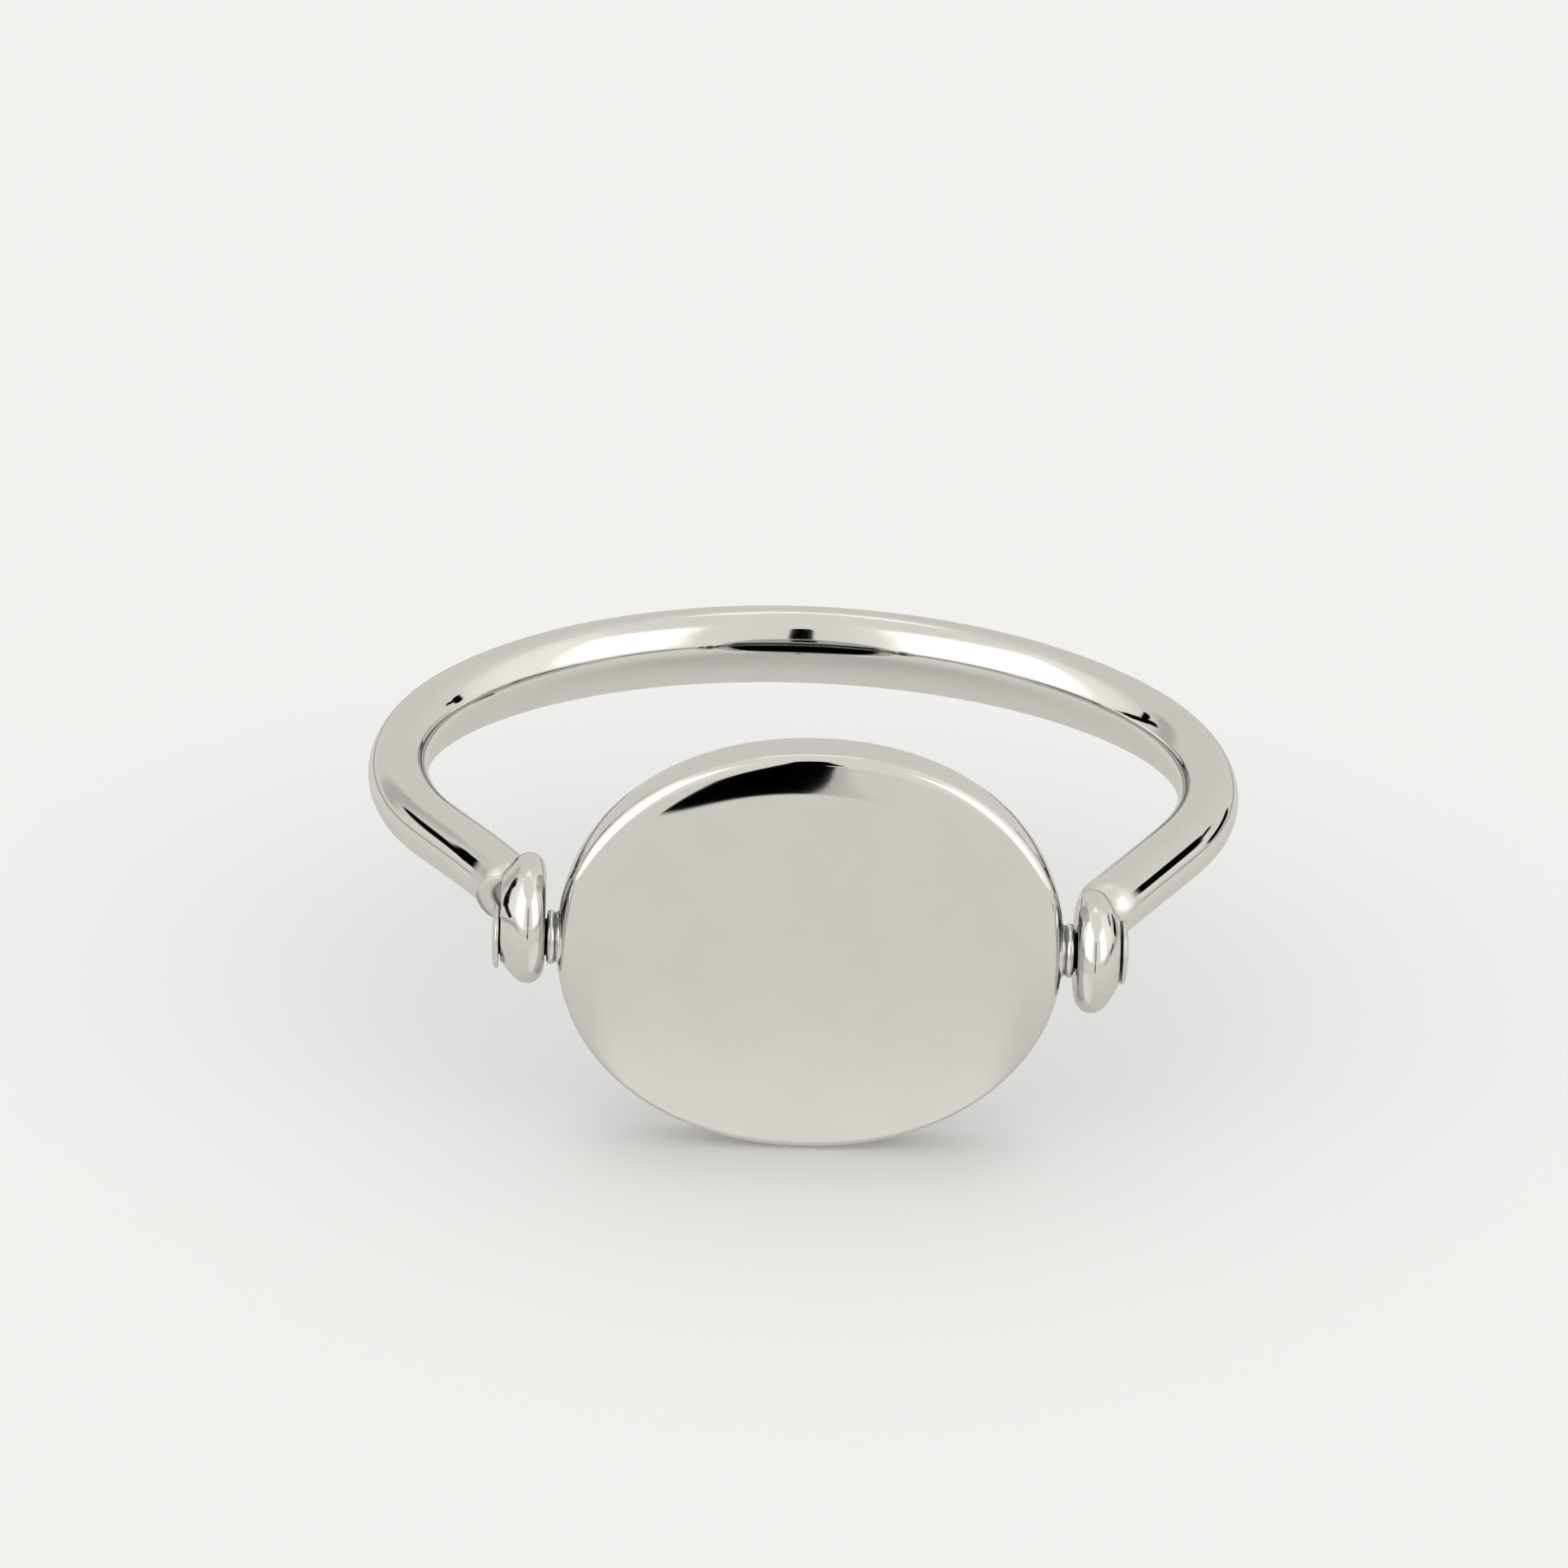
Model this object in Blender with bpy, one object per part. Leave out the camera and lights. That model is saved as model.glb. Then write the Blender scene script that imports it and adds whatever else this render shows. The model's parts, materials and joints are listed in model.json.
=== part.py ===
"""Swivel signet ring: an oval plate that flips on two pivot pins between the eyelets of an open shank.

Row frame: +Z along the finger, -Y towards the plate's front face, +X to the right of the plate.
The origin is the centre of the ring's bounding box: inside the finger opening, level with the pivots.

All driving dimensions are in millimetres and are turned into metres when a mesh is made.
"""

import math

import bmesh
import bpy
from mathutils import Vector

MM = 0.001

# Finger opening, from the plate's back face to the inside of the shank's back
OPENING_DEPTH = 16.2

# Shank: one wire, oval at the back and nearly round at the arms, bent in a level plane
WIRE_THICKNESS_BACK = 1.44  # across the wire, away from the finger
WIRE_HEIGHT_BACK = 1.99  # along the finger
WIRE_THICKNESS_ARM = 1.44
WIRE_HEIGHT_ARM = 1.42
BACK_RADIUS = 10.04  # of the wire's centre line
BACK_SWEEP = math.radians(55.2)  # from the middle of the back, each side
SIDE_RADIUS = 8.07
SIDE_SWEEP = math.radians(63.0)
SHANK_RISE = 0.50  # height of the wire's centre line above the pivot axis
TIP_SET = 0.90  # from the tip dome's centre to where the arm's line crosses the eyelet's mid-plane

# Signet plate: a superellipse with the same soft edge on both faces
PLATE_WIDTH = 11.48
PLATE_HEIGHT = 9.72
PLATE_THICKNESS = 1.45
PLATE_POWER = 2.10  # 2 is an ellipse, larger is squarer
PILLOW_WIDTH = 0.75  # border where each face starts to curve away
PILLOW_DROP = 0.06
EDGE_ROUND = 0.28  # radius between the border and the rim

# Eyelets: thick rings with a round rim that slopes away on the outer side, soldered to the arms
EYELET_RADIUS = 1.41
EYELET_THICKNESS = 1.00
EYELET_X = 6.53  # centre of each eyelet from the middle of the ring
CREST_SET_IN = 0.12  # how far the rim's highest line is from mid-thickness, towards the plate
INNER_ROUND = 0.45  # how far the rim's inner curve reaches in from the outside
CREST_ROUND = 0.40  # radius of the rim's outer curve
FLANK_SLOPE = math.radians(45)  # how far the outer curve turns before it runs into the flank
FLAT_RADIUS = 0.76  # of the flat outside the flank, under the pin's head
LEFT_GROWTH = 0.08  # the left eyelet is a little larger, and its hole is off its middle
LEFT_RISE = 0.40  # of its middle above the pin
LEFT_SET_BACK = 0.15  # of its middle behind the pin
LEFT_FLAT_GROWTH = 0.22  # the flat under its pin's head is wider, as the hole is off its middle

# Pivot pins and collars
PIN_RADIUS = 0.42
PIN_HEAD_RADIUS = 0.74
PIN_HEAD_HEIGHT = 0.16
PIN_HEAD_WALL = 0.05  # straight part of the head's height
PIN_CHAMFER = 0.12
PIN_DEPTH = 0.90  # of the pin in the plate
COLLAR_RADIUS = 0.62
COLLAR_BEVEL = 0.04
GROOVE_DEPTH = 0.10  # of the groove round each collar's middle
GROOVE_WIDTH = 0.08
SEAT_RADIUS = 0.68  # of the flat spot on the plate's rim under each collar
SEAT_DEPTH = 0.10

# Gaps between pieces
RUNNING_GAP = 0.04  # pin in eyelet, and along the axis on both sides of the eyelet
SOLDER_GAP = 0.02  # between pieces that are soldered together

# Worked out from the above
HALF_DEPTH = (EYELET_RADIUS + PLATE_THICKNESS / 2 + OPENING_DEPTH + WIRE_THICKNESS_BACK) / 2
PIVOT_Y = EYELET_RADIUS - HALF_DEPTH
PIVOT_Z = 0.0
BACK_Y = HALF_DEPTH - WIRE_THICKNESS_BACK / 2  # the wire's centre line at the back of the ring
EYELET_BORE = PIN_RADIUS + RUNNING_GAP
EYELET_INNER_X = EYELET_X - EYELET_THICKNESS / 2
EYELET_OUTER_X = EYELET_X + EYELET_THICKNESS / 2
SEAT_X = PLATE_WIDTH / 2 - SEAT_DEPTH

# Mesh fineness
WIRE_SEGMENTS = 20
WIRE_STEP = 0.85  # distance between the wire's sections
TIP_STEPS = 5
OUTLINE_POINTS = 88
PILLOW_STEPS = 3
EDGE_STEPS = 4
ROUND_SEGMENTS = 32
RIM_STEPS = 6
CREST_STEPS = 4
CUTTER_MARGIN = 0.5  # how far a cutter runs past the surface it cuts

BRIGHT_ROUGHNESS = 0.08
PIN_ROUGHNESS = 0.14

SHARP_ANGLE = math.radians(40)
MERGE_DISTANCE = 1e-4
SIDES = ((-1, "left"), (1, "right"))
POLISHED_SILVER = (0.86, 0.85, 0.82, 1.0)


def clear_scene():
    for obj in list(bpy.data.objects):
        bpy.data.objects.remove(obj, do_unlink=True)


def metal(name, roughness):
    """A polished silver material."""
    material = bpy.data.materials.new(name)
    material.use_nodes = True
    shader = material.node_tree.nodes["Principled BSDF"]
    shader.inputs["Base Color"].default_value = POLISHED_SILVER
    shader.inputs["Metallic"].default_value = 1.0
    shader.inputs["Roughness"].default_value = roughness
    return material


def add_object(name, bm, material=None):
    """Turn a bmesh in millimetres into an object in metres."""
    bmesh.ops.scale(bm, vec=Vector((MM, MM, MM)), verts=bm.verts)
    bmesh.ops.recalc_face_normals(bm, faces=bm.faces)
    mesh = bpy.data.meshes.new(name)
    bm.to_mesh(mesh)
    bm.free()
    mesh.shade_smooth()
    mesh.set_sharp_from_angle(angle=SHARP_ANGLE)
    obj = bpy.data.objects.new(name, mesh)
    bpy.context.scene.collection.objects.link(obj)
    if material:
        mesh.materials.append(material)
    return obj


def loft(bm, rings):
    """Join rings of equally many points with quads, and close both ends."""
    loops = [[bm.verts.new(point) for point in ring] for ring in rings]
    count = len(loops[0])
    for first, second in zip(loops, loops[1:]):
        for i in range(count):
            j = (i + 1) % count
            bm.faces.new((first[i], first[j], second[j], second[i]))
    bm.faces.new(reversed(loops[0]))
    bm.faces.new(loops[-1])


def revolve(bm, profile, closed):
    """Spin a profile of (x, radius) points about the X axis."""
    verts = [bm.verts.new((x, radius, 0.0)) for x, radius in profile]
    edges = [bm.edges.new(pair) for pair in zip(verts, verts[1:])]
    if closed:
        edges.append(bm.edges.new((verts[-1], verts[0])))
    bmesh.ops.spin(
        bm,
        geom=verts + edges,
        cent=(0, 0, 0),
        axis=(1, 0, 0),
        angle=2 * math.pi,
        steps=ROUND_SEGMENTS,
        use_merge=True,
    )
    bmesh.ops.remove_doubles(bm, verts=bm.verts, dist=MERGE_DISTANCE)


def cut(obj, cutter):
    """Take a hidden cutter's shape out of an object."""
    cutter.hide_render = True
    cutter.display_type = "WIRE"
    boolean = obj.modifiers.new("cut_" + cutter.name, "BOOLEAN")
    boolean.operation = "DIFFERENCE"
    boolean.solver = "EXACT"
    boolean.object = cutter


def place_on_pivot(obj, side, parent=None, offset=(0, 0, 0)):
    """Put a piece that was made along +X from the pivot axis's middle on one side of the ring."""
    obj.location = (Vector((0, PIVOT_Y, PIVOT_Z)) + Vector(offset)) * MM
    if side < 0:
        obj.rotation_euler = (0, 0, math.pi)
    if parent:
        obj.parent = parent
        obj.matrix_parent_inverse = parent.matrix_world.inverted()


def arc_points(start, heading, radius, sweep):
    """(point, heading) pairs along an arc, start left out.

    The heading is 0 along +X and grows as the wire turns towards -Y.
    """
    count = round(radius * sweep / WIRE_STEP)
    centre = start - Vector((math.sin(heading), math.cos(heading))) * radius
    points = []
    for k in range(1, count + 1):
        angle = heading + sweep * k / count
        points.append((centre + Vector((math.sin(angle), math.cos(angle))) * radius, angle))
    return points


def half_centre_line():
    """(point, heading) pairs along the right half of the wire, from the back to the tip's dome."""
    path = [(Vector((0.0, BACK_Y)), 0.0)]
    path += arc_points(*path[-1], BACK_RADIUS, BACK_SWEEP)
    path += arc_points(*path[-1], SIDE_RADIUS, SIDE_SWEEP)

    # The straight arm ends at the centre of its round tip, next to the eyelet's rim.
    point, heading = path[-1]
    direction = Vector((math.cos(heading), -math.sin(heading)))
    reach = (point.x - EYELET_X) / -direction.x - TIP_SET
    steps = round(reach / WIRE_STEP)
    path += [(point + direction * reach * k / steps, heading) for k in range(1, steps + 1)]
    return path


def wire_section(point, heading, side, thickness, height):
    """One oval section of the wire."""
    outward = Vector((side * math.sin(heading), math.cos(heading), 0))
    centre = Vector((side * point.x, point.y, PIVOT_Z + SHANK_RISE))
    section = []
    for k in range(WIRE_SEGMENTS):
        angle = 2 * math.pi * k / WIRE_SEGMENTS
        up = Vector((0, 0, math.sin(angle) * height / 2))
        section.append(centre + outward * math.cos(angle) * thickness / 2 + up)
    return section


def half_sections(side):
    """The wire's sections on one side, from the middle of the back to the end of the tip's dome."""
    path = half_centre_line()
    lengths = [0.0]
    for (before, _), (after, _) in zip(path, path[1:]):
        lengths.append(lengths[-1] + (after - before).length)
    sections = []
    for (point, heading), length in zip(path, lengths):
        share = length / lengths[-1]
        blend = share * share * (3 - 2 * share)
        thickness = WIRE_THICKNESS_BACK + (WIRE_THICKNESS_ARM - WIRE_THICKNESS_BACK) * blend
        height = WIRE_HEIGHT_BACK + (WIRE_HEIGHT_ARM - WIRE_HEIGHT_BACK) * blend
        sections.append(wire_section(point, heading, side, thickness, height))
    direction = Vector((math.cos(heading), -math.sin(heading)))
    for k in range(1, TIP_STEPS + 1):
        angle = math.pi / 2 * k / (TIP_STEPS + 1)
        ahead = point + direction * math.sin(angle) * WIRE_THICKNESS_ARM / 2
        size = math.cos(angle)
        sections.append(wire_section(ahead, heading, side, thickness * size, height * size))
    return sections


def make_shank(material):
    """The open shank, with each tip cut to fit its eyelet's outside."""
    bm = bmesh.new()
    loft(bm, half_sections(-1)[:0:-1] + half_sections(1))
    shank = add_object("shank", bm, material)
    for side, word in SIDES:
        saddle = bmesh.new()
        revolve(saddle, eyelet_outside(side, grow=SOLDER_GAP), closed=False)
        cutter = add_object("saddle_cutter_" + word, saddle)
        place_on_pivot(cutter, side, offset=eyelet_offset(side))
        cut(shank, cutter)
    return shank


def eyelet_offset(side):
    """How far an eyelet's middle is from the pivot axis."""
    return (0, LEFT_SET_BACK, LEFT_RISE) if side < 0 else (0, 0, 0)


def eyelet_outside(side, grow=0.0):
    """(x, radius) points over an eyelet's outside, from axis to axis, all surfaces moved out by grow."""
    rim = EYELET_RADIUS + (LEFT_GROWTH if side < 0 else 0)
    flat = FLAT_RADIUS + (LEFT_FLAT_GROWTH if side < 0 else 0)
    crest_x = EYELET_X - CREST_SET_IN
    points = [(EYELET_INNER_X - grow, 0.0)]
    for k in range(RIM_STEPS + 1):
        angle = math.pi / 2 * k / RIM_STEPS
        x = crest_x - (crest_x - EYELET_INNER_X + grow) * math.cos(angle)
        points.append((x, rim - INNER_ROUND + (INNER_ROUND + grow) * math.sin(angle)))
    for k in range(1, CREST_STEPS + 1):
        angle = FLANK_SLOPE * k / CREST_STEPS
        x = crest_x + (CREST_ROUND + grow) * math.sin(angle)
        points.append((x, rim - CREST_ROUND + (CREST_ROUND + grow) * math.cos(angle)))
    points.append((EYELET_OUTER_X + grow, flat + grow))
    points.append((EYELET_OUTER_X + grow, 0.0))
    return points


def make_eyelet(name, side, material):
    """A thick ring with a round rim, a sloping outer flank and a plain bore for the pin."""
    bm = bmesh.new()
    revolve(bm, eyelet_outside(side), closed=False)
    eyelet = add_object(name, bm, material)
    place_on_pivot(eyelet, side, offset=eyelet_offset(side))

    bore = bmesh.new()
    start = EYELET_INNER_X - CUTTER_MARGIN
    end = EYELET_OUTER_X + CUTTER_MARGIN
    revolve(bore, [(start, 0.0), (start, EYELET_BORE), (end, EYELET_BORE), (end, 0.0)], closed=False)
    cutter = add_object("eyelet_cutter_" + name, bore)
    place_on_pivot(cutter, side)
    cut(eyelet, cutter)
    return eyelet


def plate_outline(inset, y):
    """A ring of points round the plate, moved in from its edge by inset, at depth y."""
    ring = []
    for k in range(OUTLINE_POINTS):
        angle = 2 * math.pi * k / OUTLINE_POINTS
        c, s = math.cos(angle), math.sin(angle)
        x = math.copysign(abs(c) ** (2 / PLATE_POWER), c) * (PLATE_WIDTH / 2 - inset)
        z = math.copysign(abs(s) ** (2 / PLATE_POWER), s) * (PLATE_HEIGHT / 2 - inset)
        ring.append((x, y, z))
    return ring


def face_profile():
    """(inset, y) points over the front face's edge, from the flat face out to the rim."""
    border_slope = math.atan(2 * PILLOW_DROP / PILLOW_WIDTH)
    round_start = EDGE_ROUND * (1 - math.sin(border_slope))
    face = -PLATE_THICKNESS / 2
    points = []
    for k in range(PILLOW_STEPS):
        share = k / PILLOW_STEPS
        points.append((round_start + PILLOW_WIDTH * (1 - share), face + PILLOW_DROP * share**2))
    round_y = face + PILLOW_DROP + EDGE_ROUND * math.cos(border_slope)
    for k in range(EDGE_STEPS + 1):
        slope = border_slope + (math.pi / 2 - border_slope) * k / EDGE_STEPS
        inset = EDGE_ROUND * (1 - math.sin(slope))
        points.append((inset, round_y - EDGE_ROUND * math.cos(slope)))
    return points


def make_plate(pivot, material):
    """The signet plate, with a flat seat and a blind bore at each end of its long axis."""
    front = face_profile()
    back = [(inset, -y) for inset, y in reversed(front)]
    bm = bmesh.new()
    loft(bm, [plate_outline(inset, y) for inset, y in front + back])
    plate = add_object("signet_plate", bm, material)
    plate.parent = pivot
    bore_end = SEAT_X - PIN_DEPTH - SOLDER_GAP
    for side, word in SIDES:
        bore = bmesh.new()
        radius = PIN_RADIUS + SOLDER_GAP
        outside = PLATE_WIDTH / 2 + CUTTER_MARGIN
        revolve(
            bore,
            [
                (bore_end, 0.0),
                (bore_end, radius),
                (SEAT_X, radius),
                (SEAT_X, SEAT_RADIUS),
                (outside, SEAT_RADIUS),
                (outside, 0.0),
            ],
            closed=False,
        )
        cutter = add_object("bore_cutter_" + word, bore)
        place_on_pivot(cutter, side)
        cut(plate, cutter)
    return plate


def make_pin(name, side, pivot, material):
    """A round pin whose domed head holds the eyelet and whose plain end is soldered in the plate."""
    inner_end = SEAT_X - PIN_DEPTH
    under_head = EYELET_OUTER_X + RUNNING_GAP
    profile = [
        (inner_end, 0.0),
        (inner_end, PIN_RADIUS - PIN_CHAMFER),
        (inner_end + PIN_CHAMFER, PIN_RADIUS),
        (under_head, PIN_RADIUS),
        (under_head, PIN_HEAD_RADIUS),
    ]
    for k in range(RIM_STEPS):
        angle = math.pi / 2 * k / RIM_STEPS
        rise = PIN_HEAD_WALL + (PIN_HEAD_HEIGHT - PIN_HEAD_WALL) * math.sin(angle)
        profile.append((under_head + rise, PIN_HEAD_RADIUS * math.cos(angle)))
    profile.append((under_head + PIN_HEAD_HEIGHT, 0.0))
    bm = bmesh.new()
    revolve(bm, profile, closed=False)
    pin = add_object(name, bm, material)
    place_on_pivot(pin, side, pivot)
    return pin


def make_collar(name, side, pivot, material):
    """A short grooved tube on the pin that keeps the plate's rim off the eyelet."""
    inner = SEAT_X + SOLDER_GAP
    outer = EYELET_INNER_X - RUNNING_GAP
    bore = PIN_RADIUS + SOLDER_GAP
    groove_start = (inner + outer - GROOVE_WIDTH) / 2
    groove_end = groove_start + GROOVE_WIDTH
    profile = [
        (inner, bore),
        (inner, COLLAR_RADIUS - COLLAR_BEVEL),
        (inner + COLLAR_BEVEL, COLLAR_RADIUS),
        (groove_start, COLLAR_RADIUS),
        (groove_start, COLLAR_RADIUS - GROOVE_DEPTH),
        (groove_end, COLLAR_RADIUS - GROOVE_DEPTH),
        (groove_end, COLLAR_RADIUS),
        (outer - COLLAR_BEVEL, COLLAR_RADIUS),
        (outer, COLLAR_RADIUS - COLLAR_BEVEL),
        (outer, bore),
    ]
    bm = bmesh.new()
    revolve(bm, profile, closed=True)
    collar = add_object(name, bm, material)
    place_on_pivot(collar, side, pivot)
    return collar


def main():
    clear_scene()
    silver = metal("polished_silver", BRIGHT_ROUGHNESS)
    pin_silver = metal("pin_silver", PIN_ROUGHNESS)

    pivot = bpy.data.objects.new("plate_pivot", None)
    pivot.location = Vector((0, PIVOT_Y, PIVOT_Z)) * MM
    bpy.context.scene.collection.objects.link(pivot)
    bpy.context.view_layer.update()

    make_shank(silver)
    make_plate(pivot, silver)
    for side, word in SIDES:
        make_eyelet("eyelet_" + word, side, silver)
        make_pin("pivot_pin_" + word, side, pivot, pin_silver)
        make_collar("collar_" + word, side, pivot, pin_silver)


main()
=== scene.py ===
import json
import math

import bmesh
import bpy
import numpy as np
from mathutils import Matrix, Vector, noise


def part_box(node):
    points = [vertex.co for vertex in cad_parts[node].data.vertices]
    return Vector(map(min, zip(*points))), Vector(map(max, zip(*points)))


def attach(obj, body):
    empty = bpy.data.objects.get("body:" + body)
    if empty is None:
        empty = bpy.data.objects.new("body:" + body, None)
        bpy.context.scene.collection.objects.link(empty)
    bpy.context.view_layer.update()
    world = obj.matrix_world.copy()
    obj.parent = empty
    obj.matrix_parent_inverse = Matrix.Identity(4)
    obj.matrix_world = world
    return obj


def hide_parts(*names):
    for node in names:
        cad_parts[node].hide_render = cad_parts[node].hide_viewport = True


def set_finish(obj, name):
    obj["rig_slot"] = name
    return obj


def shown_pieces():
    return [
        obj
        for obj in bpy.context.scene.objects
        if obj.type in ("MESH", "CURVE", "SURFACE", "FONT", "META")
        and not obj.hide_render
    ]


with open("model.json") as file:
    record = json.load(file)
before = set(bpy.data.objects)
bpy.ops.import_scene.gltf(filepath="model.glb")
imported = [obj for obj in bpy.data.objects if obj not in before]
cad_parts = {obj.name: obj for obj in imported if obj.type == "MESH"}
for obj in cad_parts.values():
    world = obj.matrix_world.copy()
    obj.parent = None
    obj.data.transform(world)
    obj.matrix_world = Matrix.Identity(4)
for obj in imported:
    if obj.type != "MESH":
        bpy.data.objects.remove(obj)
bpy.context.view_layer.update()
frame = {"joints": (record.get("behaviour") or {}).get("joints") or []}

# The looks of a polished silver flip signet ring. Sizes are in millimetres until a mesh is made.
MM = 0.001
SIDES = ((-1, "left"), (1, "right"))


def node_box(node):
    """Lowest and highest corners of a CAD node, in millimetres."""
    low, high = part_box(node)
    return np.array(low) / MM, np.array(high) / MM


def eyelet_of(word):
    """Centre, radius and half thickness of an eyelet, as if it sat on the right."""
    low, high = node_box("eyelet_" + word)
    centre = (low + high) / 2
    centre[0] = abs(centre[0])
    return {"centre": centre, "radius": (high[2] - low[2]) / 2, "half": (high[0] - low[0]) / 2}


# Places and sizes that the frame gives
SHANK_LOW, SHANK_HIGH = node_box("shank")
PLATE_LOW, PLATE_HIGH = node_box("signet_plate")
PIN_LOW, PIN_HIGH = node_box("pivot_pin_right")
COLLAR_LOW, COLLAR_HIGH = node_box("collar_right")
EYELETS = {side: eyelet_of(word) for side, word in SIDES}
EYELET_X = EYELETS[1]["centre"][0]
EYELET_HALF = EYELETS[1]["half"]
PIVOT = np.array(frame["joints"][0]["pos_m"]) / MM
PLATE_HALF_HEIGHT = (PLATE_HIGH[2] - PLATE_LOW[2]) / 2
PLATE_HALF_THICKNESS = (PLATE_HIGH[1] - PLATE_LOW[1]) / 2
SHANK_Z = (SHANK_LOW[2] + SHANK_HIGH[2]) / 2
WIRE_HEIGHT_BACK = SHANK_HIGH[2] - SHANK_LOW[2]
HEAD_RADIUS = (PIN_HIGH[2] - PIN_LOW[2]) / 2
HEAD_TOP = PIN_HIGH[0]
COLLAR_RADIUS = (COLLAR_HIGH[2] - COLLAR_LOW[2]) / 2

# The shank's bends, as in the CAD
WIRE_THICKNESS_BACK = 1.44
WIRE_THICKNESS_ARM = 1.44
WIRE_HEIGHT_ARM = 1.42
BACK_Y = SHANK_HIGH[1] - WIRE_THICKNESS_BACK / 2
BACK_RADIUS = 10.04
BACK_SWEEP = math.radians(55.2)
SIDE_RADIUS = 8.07
SIDE_SWEEP = math.radians(63.0)

# The plate's outline and edges, as in the CAD
PLATE_HALF_WIDTH = 5.74
PLATE_POWER = 2.10
PILLOW_WIDTH = 0.75
PILLOW_DROP = 0.06
EDGE_ROUND = 0.28

# The eyelets' profile, as in the CAD
CREST_SET_IN = 0.12
INNER_ROUND = 0.45
CREST_ROUND = 0.40
FLANK_SLOPE = math.radians(45)
FLAT_RADIUS = {-1: 0.98, 1: 0.76}

# Bores, and the gap where a piece runs, as in the CAD
EYELET_BORE = 0.46
COLLAR_BORE = 0.44
CLEARANCE = 0.04

# Details of the shank that only the looks have. -1 is the left side and 1 the right.
TIP_SET = 0.70  # as in the CAD but shorter, because solder fills the corner behind the eyelet
BEND_EASE = 3.2  # length over which one bend runs into the next
ARM_RISE = {-1: 0.12, 1: 0.0}  # the left arm climbs a little to its eyelet
ARM_RISE_LENGTH = 4.0
LEAN_LENGTH = 1.0  # length before the joint over which the wire's sections lean to meet the eyelet
SOLDER_FILLET = {-1: 0.12, 1: 0.06}
SOLDER_LUMPS = {-1: 0.018, 1: 0.006}  # how rough the solder is on each side
LUMPS_PER_MM = 7.0
FINE_LUMPS_PER_MM = 17.0

# Details of the other pieces that only the looks have
RIM_BULGE = 0.03  # of the plate's rim at mid-thickness
BORE_BEVEL = 0.05
HEAD_EDGE = 0.06  # height at which the head's dome starts
HEAD_BEVEL_WIDTH = 0.03
HEAD_BEVEL_HEIGHT = 0.02
HEAD_FULLNESS = 0.7  # 1 is a half ellipse, smaller is fuller
HEAD_MIDDLE = 0.02  # radius of the flat spot that closes the dome
COLLAR_BEAD = 0.09
COLLAR_SINK = 0.06  # how much further than the CAD's collar the inner bead reaches into the plate's rim

# Mesh fineness
WIRE_STEP = 0.12
WIRE_SEGMENTS = 96
CENTRE_LINE_STEP = 0.01
SCAN_BACK = 2.0  # how far up the arm the search for the eyelet starts
SCAN_POINTS = 4000
SETTLE_STEPS = 6  # of moving the fillet's foot onto the eyelet
LEAN_STEPS = 14
FILLET_STEPS = 10
OUTLINE_POINTS = 360
ROUND_SEGMENTS = 128
EYELET_INNER_POINTS = 24
EYELET_OUTER_POINTS = 13
EYELET_FACE_POINTS = 5
PILLOW_POINTS = 13
EDGE_POINTS = 12
RIM_POINTS = 6
FACE_RING_SHARES = (0.9, 0.6, 0.35)  # of the way in to the middle of the plate's face
FACE_RING_INSETS = (0.3, 0.08)  # in from the edge of the flat
HEAD_POINTS = 22
BEAD_POINTS = 17


def smoothstep(x):
    """0 up to 0, 1 from 1, smooth between."""
    x = np.clip(x, 0, 1)
    return x * x * (3 - 2 * x)


def grid_mesh(name, rings, caps=(True, True), flip=False, weld=False):
    """A mesh from closed rings (ring, point, xyz) in millimetres, with n-gon caps."""
    rings = np.asarray(rings, float)
    count, points = rings.shape[:2]
    faces = []
    for i in range(count - 1):
        for j in range(points):
            k = (j + 1) % points
            faces.append((i * points + j, i * points + k, (i + 1) * points + k, (i + 1) * points + j))
    if caps[0]:
        faces.append(tuple(reversed(range(points))))
    if caps[1]:
        faces.append(tuple(range((count - 1) * points, count * points)))
    if flip:
        faces = [tuple(reversed(face)) for face in faces]
    mesh = bpy.data.meshes.new(name)
    mesh.from_pydata((rings.reshape(-1, 3) * MM).tolist(), [], faces)
    if weld:
        bm = bmesh.new()
        bm.from_mesh(mesh)
        bmesh.ops.remove_doubles(bm, verts=bm.verts, dist=1e-8)
        bm.to_mesh(mesh)
        bm.free()
    mesh.validate()
    mesh.shade_smooth()
    obj = bpy.data.objects.new(name, mesh)
    bpy.context.scene.collection.objects.link(obj)
    return obj


def revolved(name, profile, side, closed=False, off_axis=None):
    """A profile of (x, radius) points spun about the pivot axis, mirrored for the left side.

    off_axis gives a (y, z) shift of the circle that each profile point sweeps.
    """
    angles = np.linspace(0, 2 * math.pi, ROUND_SEGMENTS, endpoint=False)
    profile = np.array(profile)
    shift = np.zeros((len(profile), 2)) if off_axis is None else np.array(off_axis)
    if closed:
        profile = np.concatenate([profile, profile[:1]])
        shift = np.concatenate([shift, shift[:1]])
    rings = np.empty((len(profile), ROUND_SEGMENTS, 3))
    rings[..., 0] = side * profile[:, :1]
    rings[..., 1] = PIVOT[1] + shift[:, :1] + profile[:, 1:] * np.cos(angles)
    rings[..., 2] = PIVOT[2] + shift[:, 1:] + profile[:, 1:] * np.sin(angles)
    return grid_mesh(name, rings, caps=(not closed, not closed), flip=side < 0, weld=closed)


def dress(obj, node, body, slot):
    """Make a piece stand for a CAD node, move with its body and take its material slot."""
    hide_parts(node)
    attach(obj, body)
    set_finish(obj, slot)
    return obj


# ---------------------------------------------------------------- shank

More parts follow.
